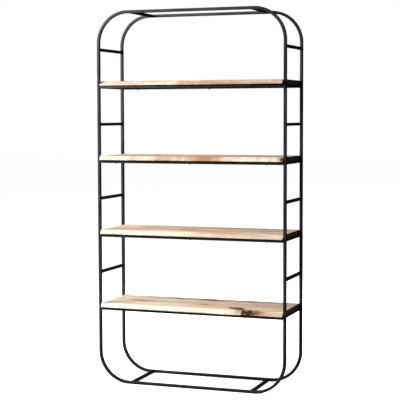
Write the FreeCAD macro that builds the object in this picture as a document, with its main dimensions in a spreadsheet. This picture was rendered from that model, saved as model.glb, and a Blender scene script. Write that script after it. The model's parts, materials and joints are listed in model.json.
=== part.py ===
import FreeCAD, Part
import Sketcher
import math
import os

# Steel and timber bookcase: two tall bent-tube hoops joined by welded rungs and bars,
# and four shelves, each a welded tube frame with a solid board on it, that hang on
# pins in the posts.  Millimetres, +Z up, +X to the right, the front faces -Y.
# The origin is under the middle of the whole bookcase, on the floor.

SIZES = [
    ("overall_width", 1000.0, "outside width of the hoops"),
    ("overall_depth", 310.0, "front face of the front hoop to back face of the rear hoop"),
    ("overall_height", 1900.0, "floor to the top of the hoops"),
    ("bend_radius", 165.0, "outside radius of the hoop corners"),
    ("tube_side", 15.0, "side of the square tube"),
    ("tube_wall", 1.5, "wall of the square tube"),
    ("tube_edge_radius", 1.8, "outside radius of the tube's long edges"),
    ("tube_inner_radius", 0.4, "inside radius of the tube's long edges"),
    ("level_gap", 29.0, "end of a hoop corner to the middle of the nearest level"),
    ("bar_gap", 15.0, "end of a hoop corner to the middle of a cross bar"),
    ("shelf_end_gap", 0.5, "gap between a shelf frame and the post beside it"),
    ("board_thickness", 22.0, "thickness of a board"),
    ("board_overhang", 10.0, "how far a board's lower front edge stands out"),
    ("board_bevel", 14.0, "how far the upper front edge stands behind the lower one"),
    ("pin_diameter", 5.0, "diameter of a shelf pin"),
    ("pin_hole_clearance", 0.2, "hole diameter less pin diameter"),
    ("pin_reach", 12.0, "how far a pin stands out of the post"),
    ("pin_top_gap", 0.2, "gap between a pin and the rail wall above it"),
    ("notch_clearance", 1.0, "rail notch width less pin diameter"),
    ("notch_end_gap", 0.5, "rail notch length less pin reach"),
    ("screw_diameter", 4.0, "diameter of a board screw"),
    ("screw_head_diameter", 8.0, "diameter of a screw head"),
    ("screw_head_height", 2.4, "height of a screw head"),
    ("screw_hole_clearance", 0.5, "rail hole diameter less screw diameter"),
    ("pilot_clearance", 0.1, "board hole diameter less screw diameter"),
    ("screw_grip", 14.0, "length of screw in the board"),
    ("pilot_spare", 1.0, "board hole depth less screw grip"),
    ("screw_inset", 100.0, "outside of the hoop to an end screw"),
]
LEVEL_COUNT = 9              # levels, equally far apart, where a rung or a shelf may be
HOLES_PER_LEVEL = 3          # pin holes in the height from one level to the next
PIN_HOLE_COUNT = (LEVEL_COUNT - 1) * HOLES_PER_LEVEL + 1
HOLE_RUN_OUT = 2.0           # how far a hole is cut on past the wall that it goes through
RUNG_LEVELS = (3, 5, 7, 9)
SHELF_LEVELS = (2, 4, 6, 8)
SIDES = (("left", -1), ("right", 1))
ENDS = (("front", -1), ("rear", 1))

# Expressions that several sub-parts share.
FIRST_LEVEL = "(Sizes.bend_radius + Sizes.level_gap)"
LEVEL_PITCH = f"((Sizes.overall_height - 2 * {FIRST_LEVEL}) / {LEVEL_COUNT - 1})"
BAR_X = "(Sizes.overall_width / 2 - Sizes.bend_radius - Sizes.bar_gap)"
SCREW_X = "(Sizes.overall_width / 2 - Sizes.screw_inset)"
FRAME_Y = "Sizes.board_overhang / 2"
POST_X = "(Sizes.overall_width - Sizes.tube_side) / 2"
POST_Y = "(Sizes.overall_depth - Sizes.tube_side) / 2"
CLEAR_DEPTH = "Sizes.overall_depth - 2 * Sizes.tube_side"
SHELF_LENGTH = "Sizes.overall_width - 2 * Sizes.tube_side - 2 * Sizes.shelf_end_gap"
PIN_RISE = ("Sizes.tube_side / 2 - Sizes.tube_wall - Sizes.pin_diameter / 2"
            " - Sizes.pin_top_gap")

doc = FreeCAD.newDocument("Bookcase")
sheet = doc.addObject("Spreadsheet::Sheet", "Sizes")
for row, (alias, number, meaning) in enumerate(SIZES, start=1):
    sheet.set(f"A{row}", alias)
    sheet.set(f"B{row}", str(number))
    sheet.setAlias(f"B{row}", alias)
    sheet.set(f"C{row}", meaning)
doc.recompute()

nodes = []


def size(alias):
    """Return one driving dimension from the sheet."""
    return float(sheet.get(alias))


def level_z(level):
    """Return the expression for the middle height of a level, counted from 1."""
    return f"({FIRST_LEVEL} + {level - 1} * {LEVEL_PITCH})"


def place(part, x="0", y="0", z="0"):
    """Bind the position of a sub-part to expressions."""
    part.setExpression(".Placement.Base.x", x)
    part.setExpression(".Placement.Base.y", y)
    part.setExpression(".Placement.Base.z", z)


def new_body(label):
    """Make an empty body that becomes one node."""
    body = doc.addObject("PartDesign::Body", label)
    body.Label = label
    nodes.append(body)
    return body


def origin_feature(body, role):
    """Return a body's own origin plane or axis by its role."""
    return next(item for item in body.Origin.OriginFeatures if item.Role == role)


def new_sketch(body, role, name):
    """Make a sketch on one of the body's own origin planes."""
    sketch = body.newObject("Sketcher::SketchObject", name)
    sketch.AttachmentSupport = [(origin_feature(body, role), "")]
    sketch.MapMode = "FlatFace"
    return sketch


def bound(sketch, constraint, expression):
    """Add a dimension to a sketch and bind it to an expression."""
    index = sketch.addConstraint(constraint)
    sketch.setExpression(f"Constraints[{index}]", expression)


def rounded_loop(sketch, expressions, numbers):
    """Draw a rectangle with round corners about the sketch's origin.

    expressions and numbers each hold its width, height and corner radius.
    """
    width, height, radius = numbers
    reach_x = width / 2 - radius
    reach_y = height / 2 - radius
    normal = FreeCAD.Vector(0, 0, 1)
    arcs = []
    lines = []
    for quarter, (sign_x, sign_y) in enumerate(((1, 1), (-1, 1), (-1, -1), (1, -1))):
        centre = FreeCAD.Vector(sign_x * reach_x, sign_y * reach_y, 0)
        start = quarter * math.pi / 2
        circle = Part.Circle(centre, normal, radius)
        arcs.append(sketch.addGeometry(Part.ArcOfCircle(circle, start, start + math.pi / 2)))
    half_x = width / 2
    half_y = height / 2
    corners = [
        ((reach_x, half_y), (-reach_x, half_y)),
        ((-half_x, reach_y), (-half_x, -reach_y)),
        ((-reach_x, -half_y), (reach_x, -half_y)),
        ((half_x, -reach_y), (half_x, reach_y)),
    ]
    for (start_x, start_y), (end_x, end_y) in corners:
        segment = Part.LineSegment(FreeCAD.Vector(start_x, start_y, 0),
                                   FreeCAD.Vector(end_x, end_y, 0))
        lines.append(sketch.addGeometry(segment))
    for index, line in enumerate(lines):
        sketch.addConstraint(Sketcher.Constraint("Tangent", arcs[index], 2, line, 1))
        sketch.addConstraint(Sketcher.Constraint("Tangent", line, 2, arcs[(index + 1) % 4], 1))
    for index in (0, 2):
        sketch.addConstraint(Sketcher.Constraint("Horizontal", lines[index]))
        sketch.addConstraint(Sketcher.Constraint("Vertical", lines[index + 1]))
    for arc in arcs[1:]:
        sketch.addConstraint(Sketcher.Constraint("Equal", arcs[0], arc))
    sketch.addConstraint(Sketcher.Constraint("Symmetric", arcs[0], 3, arcs[2], 3, -1, 1))
    bound(sketch, Sketcher.Constraint("DistanceX", lines[1], 1, lines[3], 1, width),
          expressions[0])
    bound(sketch, Sketcher.Constraint("DistanceY", lines[2], 1, lines[0], 1, height),
          expressions[1])
    bound(sketch, Sketcher.Constraint("Radius", arcs[0], radius), expressions[2])


def circle_at(sketch, x, y, diameter):
    """Draw a circle; its centre and diameter are each an expression and its number."""
    normal = FreeCAD.Vector(0, 0, 1)
    circle = Part.Circle(FreeCAD.Vector(x[1], y[1], 0), normal, diameter[1] / 2)
    geometry = sketch.addGeometry(circle)
    if x[1] == 0:
        sketch.addConstraint(Sketcher.Constraint("PointOnObject", geometry, 3, -2))
    else:
        bound(sketch, Sketcher.Constraint("DistanceX", -1, 1, geometry, 3, x[1]), x[0])
    if y[1] == 0:
        sketch.addConstraint(Sketcher.Constraint("PointOnObject", geometry, 3, -1))
    else:
        bound(sketch, Sketcher.Constraint("DistanceY", -1, 1, geometry, 3, y[1]), y[0])
    bound(sketch, Sketcher.Constraint("Diameter", geometry, diameter[1]), diameter[0])


def feature(body, kind, name, sketch, length, side_type="Symmetric", reverse=False):
    """Pad or pocket a sketch by a length that follows an expression."""
    step = body.newObject(f"PartDesign::{kind}", name)
    step.Profile = sketch
    step.SideType = side_type
    step.Reversed = reverse
    step.setExpression("Length", length)
    sketch.Visibility = False
    return step


def hoop_ring(sketch, insets):
    """Draw the outlines of the hoop at two insets, each an expression and its number."""
    for expression, number in insets:
        rounded_loop(
            sketch,
            (f"Sizes.overall_width - 2 * ({expression})",
             f"Sizes.overall_height - 2 * ({expression})",
             f"Sizes.bend_radius - ({expression})"),
            (size("overall_width") - 2 * number,
             size("overall_height") - 2 * number,
             size("bend_radius") - number))


def make_hoop(end, sign):
    """Make one hoop: a square tube bent round four corners, with pin holes in its posts."""
    body = new_body(f"{end}_hoop")
    side = size("tube_side")
    wall = size("tube_wall")
    outline = new_sketch(body, "XZ_Plane", f"{end}_outline")
    hoop_ring(outline, (("0", 0.0), ("Sizes.tube_side", side)))
    pad = feature(body, "Pad", f"{end}_bar", outline, "Sizes.tube_side")
    doc.recompute()
    long_edges = []
    for number, edge in enumerate(pad.Shape.Edges, start=1):
        depths = [vertex.Point.y for vertex in edge.Vertexes]
        if max(depths) - min(depths) < side / 2:
            long_edges.append(f"Edge{number}")
    rounding = body.newObject("PartDesign::Fillet", f"{end}_edges")
    rounding.Base = (pad, long_edges)
    rounding.setExpression("Radius", "Sizes.tube_edge_radius")
    hollow = new_sketch(body, "XZ_Plane", f"{end}_hollow_outline")
    hoop_ring(hollow, (("Sizes.tube_wall", wall),
                       ("Sizes.tube_side - Sizes.tube_wall", side - wall)))
    feature(body, "Pocket", f"{end}_hollow", hollow, "Sizes.tube_side - 2 * Sizes.tube_wall")
    hole = new_sketch(body, "YZ_Plane", f"{end}_pin_hole_outline")
    first_level = size("bend_radius") + size("level_gap") - size("overall_height") / 2
    circle_at(hole, ("0", 0.0),
              (f"{level_z(1)} + {PIN_RISE} - Sizes.overall_height / 2", first_level),
              ("Sizes.pin_diameter + Sizes.pin_hole_clearance",
               size("pin_diameter") + size("pin_hole_clearance")))
    drill = feature(body, "Pocket", f"{end}_pin_hole", hole,
                    "Sizes.overall_width - 2 * Sizes.tube_side"
                    f" + 2 * (Sizes.tube_wall + {HOLE_RUN_OUT})")
    doc.recompute()
    row = body.newObject("PartDesign::LinearPattern", f"{end}_pin_holes")
    row.Originals = [drill]
    row.Direction = (origin_feature(body, "Z_Axis"), [""])
    row.setExpression("Length",
                      f"{PIN_HOLE_COUNT - 1} * {LEVEL_PITCH} / {HOLES_PER_LEVEL}")
    row.Occurrences = PIN_HOLE_COUNT
    body.Tip = row
    place(body, y=f"{FRAME_Y} + {sign} * {POST_Y}", z="Sizes.overall_height / 2")


def make_tube(label, plane, length):
    """Make a straight square tube centred on its own origin, along the plane's normal."""
    body = new_body(label)
    section = new_sketch(body, plane, f"{label}_section")
    side = size("tube_side")
    bore = side - 2 * size("tube_wall")
    rounded_loop(section, ("Sizes.tube_side", "Sizes.tube_side", "Sizes.tube_edge_radius"),
                 (side, side, size("tube_edge_radius")))
    rounded_loop(section, ("Sizes.tube_side - 2 * Sizes.tube_wall",
                           "Sizes.tube_side - 2 * Sizes.tube_wall",
                           "Sizes.tube_inner_radius"),
                 (bore, bore, size("tube_inner_radius")))
    feature(body, "Pad", f"{label}_tube", section, length)
    return body


def make_frame_tubes():
    """Make the ladder rungs at the sides and the cross bars at the top and bottom."""
    for side_name, side_sign in SIDES:
        for number, level in enumerate(RUNG_LEVELS, start=1):
            rung = make_tube(f"{side_name}_rung_{number}", "XZ_Plane", CLEAR_DEPTH)
            place(rung, x=f"{side_sign} * {POST_X}", y=FRAME_Y, z=level_z(level))
        bar_x = f"{side_sign} * {BAR_X}"
        bottom = make_tube(f"bottom_bar_{side_name}", "XZ_Plane", CLEAR_DEPTH)
        place(bottom, x=bar_x, y=FRAME_Y, z="Sizes.tube_side / 2")
        top = make_tube(f"top_bar_{side_name}", "XZ_Plane", CLEAR_DEPTH)
        place(top, x=bar_x, y=FRAME_Y, z="Sizes.overall_height - Sizes.tube_side / 2")


def box_outline(sketch, x, y, width, height):
    """Draw a rectangle from its low corner; each value is an expression and its number."""
    points = [
        FreeCAD.Vector(x[1], y[1], 0),
        FreeCAD.Vector(x[1] + width[1], y[1], 0),
        FreeCAD.Vector(x[1] + width[1], y[1] + height[1], 0),
        FreeCAD.Vector(x[1], y[1] + height[1], 0),
    ]
    lines = [sketch.addGeometry(Part.LineSegment(points[index], points[(index + 1) % 4]))
             for index in range(4)]
    for index in range(4):
        joint = Sketcher.Constraint("Coincident", lines[index], 2, lines[(index + 1) % 4], 1)
        sketch.addConstraint(joint)
    for index in (0, 2):
        sketch.addConstraint(Sketcher.Constraint("Horizontal", lines[index]))
        sketch.addConstraint(Sketcher.Constraint("Vertical", lines[index + 1]))
    bound(sketch, Sketcher.Constraint("DistanceX", -1, 1, lines[0], 1, x[1]), x[0])
    bound(sketch, Sketcher.Constraint("DistanceY", -1, 1, lines[0], 1, y[1]), y[0])
    bound(sketch, Sketcher.Constraint("DistanceX", lines[0], 1, lines[0], 2, width[1]), width[0])
    bound(sketch, Sketcher.Constraint("DistanceY", lines[1], 1, lines[1], 2, height[1]),
          height[0])


def screw_holes(body, label, y, diameter, depth, side_type, reverse):
    """Drill a row of three screw holes along X through the XY plane of a body."""
    outline = new_sketch(body, "XY_Plane", f"{label}_outline")
    spacing = size("overall_width") / 2 - size("screw_inset")
    for step in (-1, 0, 1):
        circle_at(outline, (f"{step} * {SCREW_X}", step * spacing), y, diameter)
    feature(body, "Pocket", label, outline, depth, side_type, reverse)


def make_long_rail(label):
    """Make a front or rear shelf rail: screw holes, and a notch under each open end."""
    rail = make_tube(label, "YZ_Plane", SHELF_LENGTH)
    side = size("tube_side")
    reach = size("pin_reach") + size("notch_end_gap")
    half_length = size("overall_width") / 2 - side - size("shelf_end_gap")
    notch_length = "(Sizes.pin_reach + Sizes.notch_end_gap)"
    notch_width = "(Sizes.pin_diameter + Sizes.notch_clearance)"
    width = size("pin_diameter") + size("notch_clearance")
    outline = new_sketch(rail, "XY_Plane", f"{label}_notch_outline")
    box_outline(outline,
                (f"({SHELF_LENGTH}) / 2 - {notch_length}", half_length - reach),
                (f"-{notch_width} / 2", -width / 2),
                (notch_length, reach),
                (notch_width, width))
    notch = feature(rail, "Pocket", f"{label}_notch", outline,
                    f"Sizes.tube_side / 2 + {HOLE_RUN_OUT}", "One side")
    doc.recompute()
    pair = rail.newObject("PartDesign::Mirrored", f"{label}_notches")
    pair.Originals = [notch]
    pair.MirrorPlane = (origin_feature(rail, "YZ_Plane"), [""])
    rail.Tip = pair
    doc.recompute()
    hole = size("screw_diameter") + size("screw_hole_clearance")
    screw_holes(rail, f"{label}_screw_holes", ("0", 0.0),
                ("Sizes.screw_diameter + Sizes.screw_hole_clearance", hole),
                "2 * Sizes.tube_side", "Symmetric", False)
    return rail


def make_board(label):
    """Make one board: sawn ends and back, a front edge that leans back, and pilot holes."""
    body = new_body(label)
    profile = new_sketch(body, "YZ_Plane", f"{label}_profile")
    back = size("overall_depth") / 2
    front = -back - size("board_overhang")
    top = size("board_thickness")
    corners = [
        FreeCAD.Vector(back, 0, 0),
        FreeCAD.Vector(back, top, 0),
        FreeCAD.Vector(front + size("board_bevel"), top, 0),
        FreeCAD.Vector(front, 0, 0),
    ]
    lines = [profile.addGeometry(Part.LineSegment(corners[index], corners[(index + 1) % 4]))
             for index in range(4)]
    for index in range(4):
        joint = Sketcher.Constraint("Coincident", lines[index], 2, lines[(index + 1) % 4], 1)
        profile.addConstraint(joint)
    profile.addConstraint(Sketcher.Constraint("Vertical", lines[0]))
    profile.addConstraint(Sketcher.Constraint("Horizontal", lines[1]))
    profile.addConstraint(Sketcher.Constraint("PointOnObject", lines[0], 1, -1))
    profile.addConstraint(Sketcher.Constraint("PointOnObject", lines[3], 1, -1))
    bound(profile, Sketcher.Constraint("DistanceX", -1, 1, lines[0], 1, back),
          "Sizes.overall_depth / 2")
    bound(profile, Sketcher.Constraint("DistanceX", lines[3], 1, -1, 1, -front),
          "Sizes.overall_depth / 2 + Sizes.board_overhang")
    bound(profile, Sketcher.Constraint("DistanceX", lines[3], 1, lines[1], 2,
                                       size("board_bevel")), "Sizes.board_bevel")
    bound(profile, Sketcher.Constraint("DistanceY", lines[0], 1, lines[0], 2, top),
          "Sizes.board_thickness")
    feature(body, "Pad", f"{label}_plank", profile, SHELF_LENGTH)
    doc.recompute()
    rail_y = (size("overall_depth") - size("tube_side")) / 2
    hole = size("screw_diameter") + size("pilot_clearance")
    for end, sign in ENDS:
        screw_holes(body, f"{label}_{end}_pilots", (f"{sign} * {POST_Y}", sign * rail_y),
                    ("Sizes.screw_diameter + Sizes.pilot_clearance", hole),
                    "Sizes.screw_grip + Sizes.pilot_spare", "One side", True)
    return body


def cylinder(label, radius, height, along_x=False):
    """Make a cylinder whose radius and height follow expressions."""
    part = doc.addObject("Part::Cylinder", label)
    part.setExpression("Radius", radius)
    part.setExpression("Height", height)
    if along_x:
        part.Placement.Rotation = FreeCAD.Rotation(FreeCAD.Vector(0, 1, 0), 90)
    return part


def group(label, parts):
    """Join like pieces, each a solid of its own, into one node."""
    compound = doc.addObject("Part::Compound", label)
    compound.Label = label
    compound.Links = parts
    nodes.append(compound)


def make_screws(label, level):
    """Make the six pan-head screws that hold a board down from under its rails."""
    underside = f"{level_z(level)} - Sizes.tube_side / 2"
    screws = []
    for end, sign in ENDS:
        for step in (-1, 0, 1):
            name = f"{label}_{end}_{step + 2}"
            spot = {"x": f"{step} * {SCREW_X}",
                    "y": f"{FRAME_Y} + {sign} * {POST_Y}"}
            shank = cylinder(f"{name}_shank", "Sizes.screw_diameter / 2",
                             "Sizes.tube_side + Sizes.screw_grip")
            place(shank, z=underside, **spot)
            head = cylinder(f"{name}_head", "Sizes.screw_head_diameter / 2",
                            "Sizes.screw_head_height")
            place(head, z=f"{underside} - Sizes.screw_head_height", **spot)
            screw = doc.addObject("Part::Fuse", name)
            screw.Base = head
            screw.Tool = shank
            screws.append(screw)
    group(label, screws)


def make_pins(label, level):
    """Make the four pins that stand out of the posts into the ends of the rails."""
    post_inside = "(Sizes.overall_width / 2 - Sizes.tube_side)"
    hidden = "(Sizes.tube_side - Sizes.tube_wall)"
    pins = []
    for side_name, side_sign in SIDES:
        for end, sign in ENDS:
            pin = cylinder(f"{label}_{side_name}_{end}", "Sizes.pin_diameter / 2",
                           f"{hidden} + Sizes.pin_reach", along_x=True)
            start = (f"{post_inside} - Sizes.pin_reach" if side_sign > 0
                     else f"-{post_inside} - {hidden}")
            place(pin, x=start, y=f"{FRAME_Y} + {sign} * {POST_Y}",
                  z=f"{level_z(level)} + {PIN_RISE}")
            pins.append(pin)
    group(label, pins)


def make_shelf(number, level):
    """Make one shelf: a welded frame of four rails, its board, screws and pins."""
    name = f"shelf_{number}"
    for end, sign in ENDS:
        rail = make_long_rail(f"{name}_{end}_rail")
        place(rail, y=f"{FRAME_Y} + {sign} * {POST_Y}", z=level_z(level))
    for side_name, side_sign in SIDES:
        rail = make_tube(f"{name}_{side_name}_rail", "XZ_Plane", CLEAR_DEPTH)
        place(rail, x=f"{side_sign} * ({SHELF_LENGTH} - Sizes.tube_side) / 2",
              y=FRAME_Y, z=level_z(level))
    board = make_board(f"{name}_board")
    place(board, y=FRAME_Y, z=f"{level_z(level)} + Sizes.tube_side / 2")
    make_screws(f"{name}_screws", level)
    make_pins(f"{name}_pins", level)


def check_document():
    """Stop if any object failed or any node is not a sound set of solids."""
    doc.recompute()
    for item in doc.Objects:
        if "Invalid" in item.State or "Error" in item.State:
            raise RuntimeError(f"{item.Label}: {item.State}")
    for item in nodes:
        shape = item.Shape
        if shape.isNull() or not shape.isValid() or not shape.Solids:
            raise RuntimeError(f"{item.Label}: its shape is not sound")


def export_nodes():
    """Write each node's shape to its own STEP file."""
    os.makedirs("parts", exist_ok=True)
    for item in nodes:
        item.Shape.exportStep(os.path.join("parts", f"{item.Label}.step"))
        box = item.Shape.BoundBox
        print(f"{item.Label}: {len(item.Shape.Solids)} solid(s), "
              f"{item.Shape.Volume / 1000:.2f} cm3, z {box.ZMin:.1f} to {box.ZMax:.1f}")


for end_name, end_sign in ENDS:
    make_hoop(end_name, end_sign)
make_frame_tubes()
for shelf_number, shelf_level in enumerate(SHELF_LEVELS, start=1):
    make_shelf(shelf_number, shelf_level)
check_document()
export_nodes()
print(f"{len(nodes)} nodes")
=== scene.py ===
"""Looks of a tall bookcase: bent tube hoops, welded rungs and live-edge timber shelves."""

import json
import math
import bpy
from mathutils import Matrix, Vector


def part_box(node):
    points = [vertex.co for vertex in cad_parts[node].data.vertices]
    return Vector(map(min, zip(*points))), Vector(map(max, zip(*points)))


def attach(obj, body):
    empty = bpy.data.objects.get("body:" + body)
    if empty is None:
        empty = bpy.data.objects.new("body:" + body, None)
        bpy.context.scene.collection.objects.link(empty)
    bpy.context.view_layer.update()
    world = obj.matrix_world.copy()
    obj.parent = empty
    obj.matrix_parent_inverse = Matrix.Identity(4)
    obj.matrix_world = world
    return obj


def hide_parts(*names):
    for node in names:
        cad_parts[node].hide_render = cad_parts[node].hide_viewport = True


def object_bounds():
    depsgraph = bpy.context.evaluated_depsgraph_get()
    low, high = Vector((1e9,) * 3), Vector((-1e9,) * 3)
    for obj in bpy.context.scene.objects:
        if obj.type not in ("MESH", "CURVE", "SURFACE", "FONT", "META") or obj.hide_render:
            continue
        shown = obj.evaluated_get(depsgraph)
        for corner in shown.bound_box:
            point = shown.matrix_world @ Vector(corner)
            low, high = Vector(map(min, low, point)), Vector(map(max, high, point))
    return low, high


bl_info = {
    "name": "Tube Frame Bookcase",
    "version": (1, 0, 0),
    "blender": (4, 5, 0),
    "location": "View3D > Sidebar > Bookcase",
    "description": "Builds a bookcase of bent square tube with live-edge timber shelves",
    "category": "Object",
}

from typing import NamedTuple

import bmesh
import bpy
import numpy as np
from mathutils import Matrix, Vector, noise

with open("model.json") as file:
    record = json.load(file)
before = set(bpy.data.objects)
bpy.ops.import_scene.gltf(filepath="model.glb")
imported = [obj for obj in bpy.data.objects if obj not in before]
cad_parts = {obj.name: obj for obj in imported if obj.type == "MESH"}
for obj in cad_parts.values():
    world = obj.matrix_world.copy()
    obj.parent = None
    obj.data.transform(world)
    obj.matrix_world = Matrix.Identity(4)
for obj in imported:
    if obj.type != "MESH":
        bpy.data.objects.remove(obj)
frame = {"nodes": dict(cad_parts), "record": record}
CAD_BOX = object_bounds()

MM = 0.001
ROOT = "frame"
PAINTED = "powder coat on steel tube"
TIMBER = "oiled hardwood plank"
ZINC = "zinc plated steel"
STEEL = "turned steel rod"
SCREWS_ALONG = 3             # screws along each long rail of a shelf
GROUND = 0.3                 # size of a weld that is ground flush, as a share of a bead
WELDED_FACES = {             # size of the weld on each side of a tube's end, as that share
    "left_rung": {"below": 1, "above": 1, "left": GROUND},
    "right_rung": {"below": 1, "above": 1, "right": GROUND},
    "top_bar": {"left": 1, "right": 1, "below": GROUND, "above": GROUND},
    "bottom_bar": {"left": 1, "right": 1, "above": GROUND},
    "left_rail": {"right": 1, "below": GROUND},
    "right_rail": {"left": 1, "below": GROUND},
}
THREAD_PITCH = 1.6 * MM
POLE = 0.0001 * MM           # radius that stands for a point on a lathe's axis
ROUND_STEPS = 24             # flat steps round a screw, a pin or a pin hole
EDGE_STEPS = 5               # flat steps round a long edge of a tube
LOG_STEP = 1300.0            # mm along the log from one board to the next
NOISE_STEP = 7.3             # distance in the noise from one board to the next
FINE_STRIP = 90.0            # mm behind the front edge where a board's mesh is finer
SAP_DEPTH = 30.0             # mm from the front edge in which the sapwood fades out
BARK_HOLLOW = 5.0            # mm that a pocket of bark is sunk into the front edge
PLAIN_ROWS = 9               # rows of mesh across an underside, and across a front edge
FINE_ROWS = 32               # rows across the fine strip of a top
REST_ROWS = 26               # rows across the rest of a top
WAVE_COUNT = 5               # sine waves in the sway of a live edge
SHELVES = ("shelf_1", "shelf_2", "shelf_3", "shelf_4")
ENDS = ("front", "rear")
HOLES_PER_LEVEL = 3          # pin holes in the height from one level to the next
LEVELS_PER_SHELF = 2         # levels from one shelf to the next
FLOOR_REACH = 30.0           # metres from the middle of the paper floor to its sides
FLOOR_GLOW = 0.97            # light that the paper adds for the eye
MIDDLE = (0, 0, 1.0)         # metres; the point that both soft boxes are turned to
WHITE = (1.0, 1.0, 1.0, 1.0)
BLACK = (0.0, 0.0, 0.0, 1.0)


def linear(hex_value):
    """Turn an sRGB hex value such as #20242c into linear red, green, blue and alpha."""
    channels = [int(hex_value[start:start + 2], 16) / 255 for start in (1, 3, 5)]
    curve = [c / 12.92 if c <= 0.04045 else ((c + 0.055) / 1.055) ** 2.4 for c in channels]
    return (*curve, 1.0)


def add_node(tree, kind, inputs=None, stops=(), **settings):
    """Add a node with its settings, and set or link the inputs given by name or number.

    stops lists a colour ramp's (position, colour) pairs.
    """
    node = tree.nodes.new(kind)
    for name, value in settings.items():
        setattr(node, name, value)
    for number, (position, tint) in enumerate(stops):
        elements = node.color_ramp.elements
        element = elements[number] if number < len(elements) else elements.new(position)
        element.position = position
        element.color = tint
    for key, value in (inputs or {}).items():
        if isinstance(value, bpy.types.NodeSocket):
            tree.links.new(value, node.inputs[key])
        else:
            node.inputs[key].default_value = value
    return node


# ---------------------------------------------------------------- sizes and colours

def length_setting(name, description, default, least):
    """Declare a length in metres."""
    return bpy.props.FloatProperty(name=name, description=description, default=default,
                                   min=least, unit="LENGTH")


def colour_setting(name, description, hex_value):
    """Declare a colour, given as its sRGB hex value."""
    return bpy.props.FloatVectorProperty(
        name=name, description=description, default=linear(hex_value), size=4,
        min=0, max=1, subtype="COLOR")


class BookcaseTubeSettings(bpy.types.PropertyGroup):
    """Sizes and colour of the painted tubes."""
    bend_radius: length_setting(
        "Bend radius", "Outside radius of the hoop corners", 165 * MM, 20 * MM)
    pin_clearance: length_setting(
        "Pin clearance", "Pin hole diameter less pin diameter", 0.2 * MM, 0)
    edge_radius: length_setting(
        "Edge radius", "Radius of the tube's long edges", 1.8 * MM, 0.2 * MM)
    bend_steps: bpy.props.IntProperty(
        name="Bend steps", description="Flat steps in each bend of a hoop",
        default=28, min=4)
    bead_radius: length_setting(
        "Weld bead", "Radius of a weld bead in a corner", 1.5 * MM, 0.3 * MM)
    bead_pitch: length_setting(
        "Weld ripple", "Distance between the ripples of a weld bead", 1.3 * MM, 0.3 * MM)
    paint: colour_setting("Paint", "Colour of the powder coat", "#171b24")


class BookcaseHardwareSettings(bpy.types.PropertyGroup):
    """Sizes of the screws and pins."""
    screw_diameter: length_setting(
        "Screw diameter", "Outside of a screw's thread", 4 * MM, 1 * MM)
    head_diameter: length_setting(
        "Head diameter", "Outside of a screw's pan head", 8 * MM, 2 * MM)
    head_height: length_setting(
        "Head height", "Height of a screw's pan head", 2.4 * MM, 0.5 * MM)
    pin_length: length_setting("Pin length", "Length of a shelf pin", 25.5 * MM, 5 * MM)


class BookcaseBoardSettings(bpy.types.PropertyGroup):
    """Sizes and colours of the timber boards."""
    step_x: length_setting("Step along", "Mesh step along the board", 3.0 * MM, 1 * MM)
    arris: length_setting("Arris", "Radius that is sanded on the edges", 1.2 * MM, 0.2 * MM)
    ring_width: length_setting("Ring width", "Width of a growth ring", 7.5 * MM, 1 * MM)
    early: colour_setting("Early wood", "Pale wood between the growth rings", "#ecdfd0")
    late: colour_setting("Late wood", "Wood of the growth rings", "#cdab89")
    # Heartwood colour also paints part of the shade patch on a board's corner by the post.
    heart: colour_setting("Heartwood", "Brown wood in streaks and round knots", "#b07b4a")
    # Bark colour also paints shade, in an open crack and on a board's corner by the post.
    bark: colour_setting("Bark", "Bark and dark pith in knots and cracks", "#2a1208")
    sap: colour_setting("Sapwood", "Palest wood, just under the bark", "#f4e8d6")


class BookcaseStageSettings(bpy.types.PropertyGroup):
    """Camera, floor and lights."""
    azimuth: bpy.props.FloatProperty(
        name="Azimuth", description="Turn of the camera from straight in front",
        default=math.radians(20.03), unit="ROTATION")
    elevation: bpy.props.FloatProperty(
        name="Elevation", description="Tilt of the camera above level",
        default=math.radians(4.01), unit="ROTATION")
    roll: bpy.props.FloatProperty(
        name="Roll", description="Turn of the camera about its own line of sight",
        default=math.radians(-0.147), unit="ROTATION")
    distance: bpy.props.FloatProperty(
        name="Distance", description="Camera to the point that it looks at",
        default=6.2, unit="LENGTH")
    target: bpy.props.FloatVectorProperty(
        name="Target", description="Point that the camera looks at, from the floor's middle",
        default=(0.0055, -0.0102, 0.9432), size=3, subtype="TRANSLATION", unit="LENGTH")
    lens: bpy.props.FloatProperty(
        name="Lens", description="Focal length in millimetres on a 36 mm sensor",
        default=109.73)
    key_power: bpy.props.FloatProperty(
        name="Key light", description="Power of the soft box on the left",
        default=510.0, unit="POWER")
    back_power: bpy.props.FloatProperty(
        name="Back light", description="Power of the soft box behind the bookcase",
        default=90.0, unit="POWER")
    sky: bpy.props.FloatProperty(
        name="Sky", description="Strength of the light from all round", default=0.022)


# ---------------------------------------------------------------- shared helpers

def new_piece(name, mesh, body, slot, *replaced):
    """Put a finished mesh in the scene as a piece that moves with a body."""
    mesh.name = name
    piece = bpy.data.objects.new(name, mesh)
    bpy.context.scene.collection.objects.link(piece)
    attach(piece, body)
    if replaced:
        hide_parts(*replaced)
    return piece


def new_tree(name, inputs):
    """Make an empty geometry node tree; inputs maps each socket's name to its type."""
    tree = bpy.data.node_groups.new(name, "GeometryNodeTree")
    tree.interface.new_socket("Geometry", in_out="INPUT", socket_type="NodeSocketGeometry")
    for socket_name, kind in inputs.items():
        tree.interface.new_socket(socket_name, in_out="INPUT", socket_type=kind)
    tree.interface.new_socket("Geometry", in_out="OUTPUT", socket_type="NodeSocketGeometry")
    start = add_node(tree, "NodeGroupInput")
    return tree, start.outputs


def end_tree(tree, geometry, material):
    """Finish a tree: real geometry instead of instances, with its material."""
    real = add_node(tree, "GeometryNodeRealizeInstances", {"Geometry": geometry})
    painted = add_node(tree, "GeometryNodeSetMaterial",
                       {"Geometry": real.outputs[0], "Material": material})
    add_node(tree, "NodeGroupOutput", {"Geometry": painted.outputs[0]})


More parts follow.
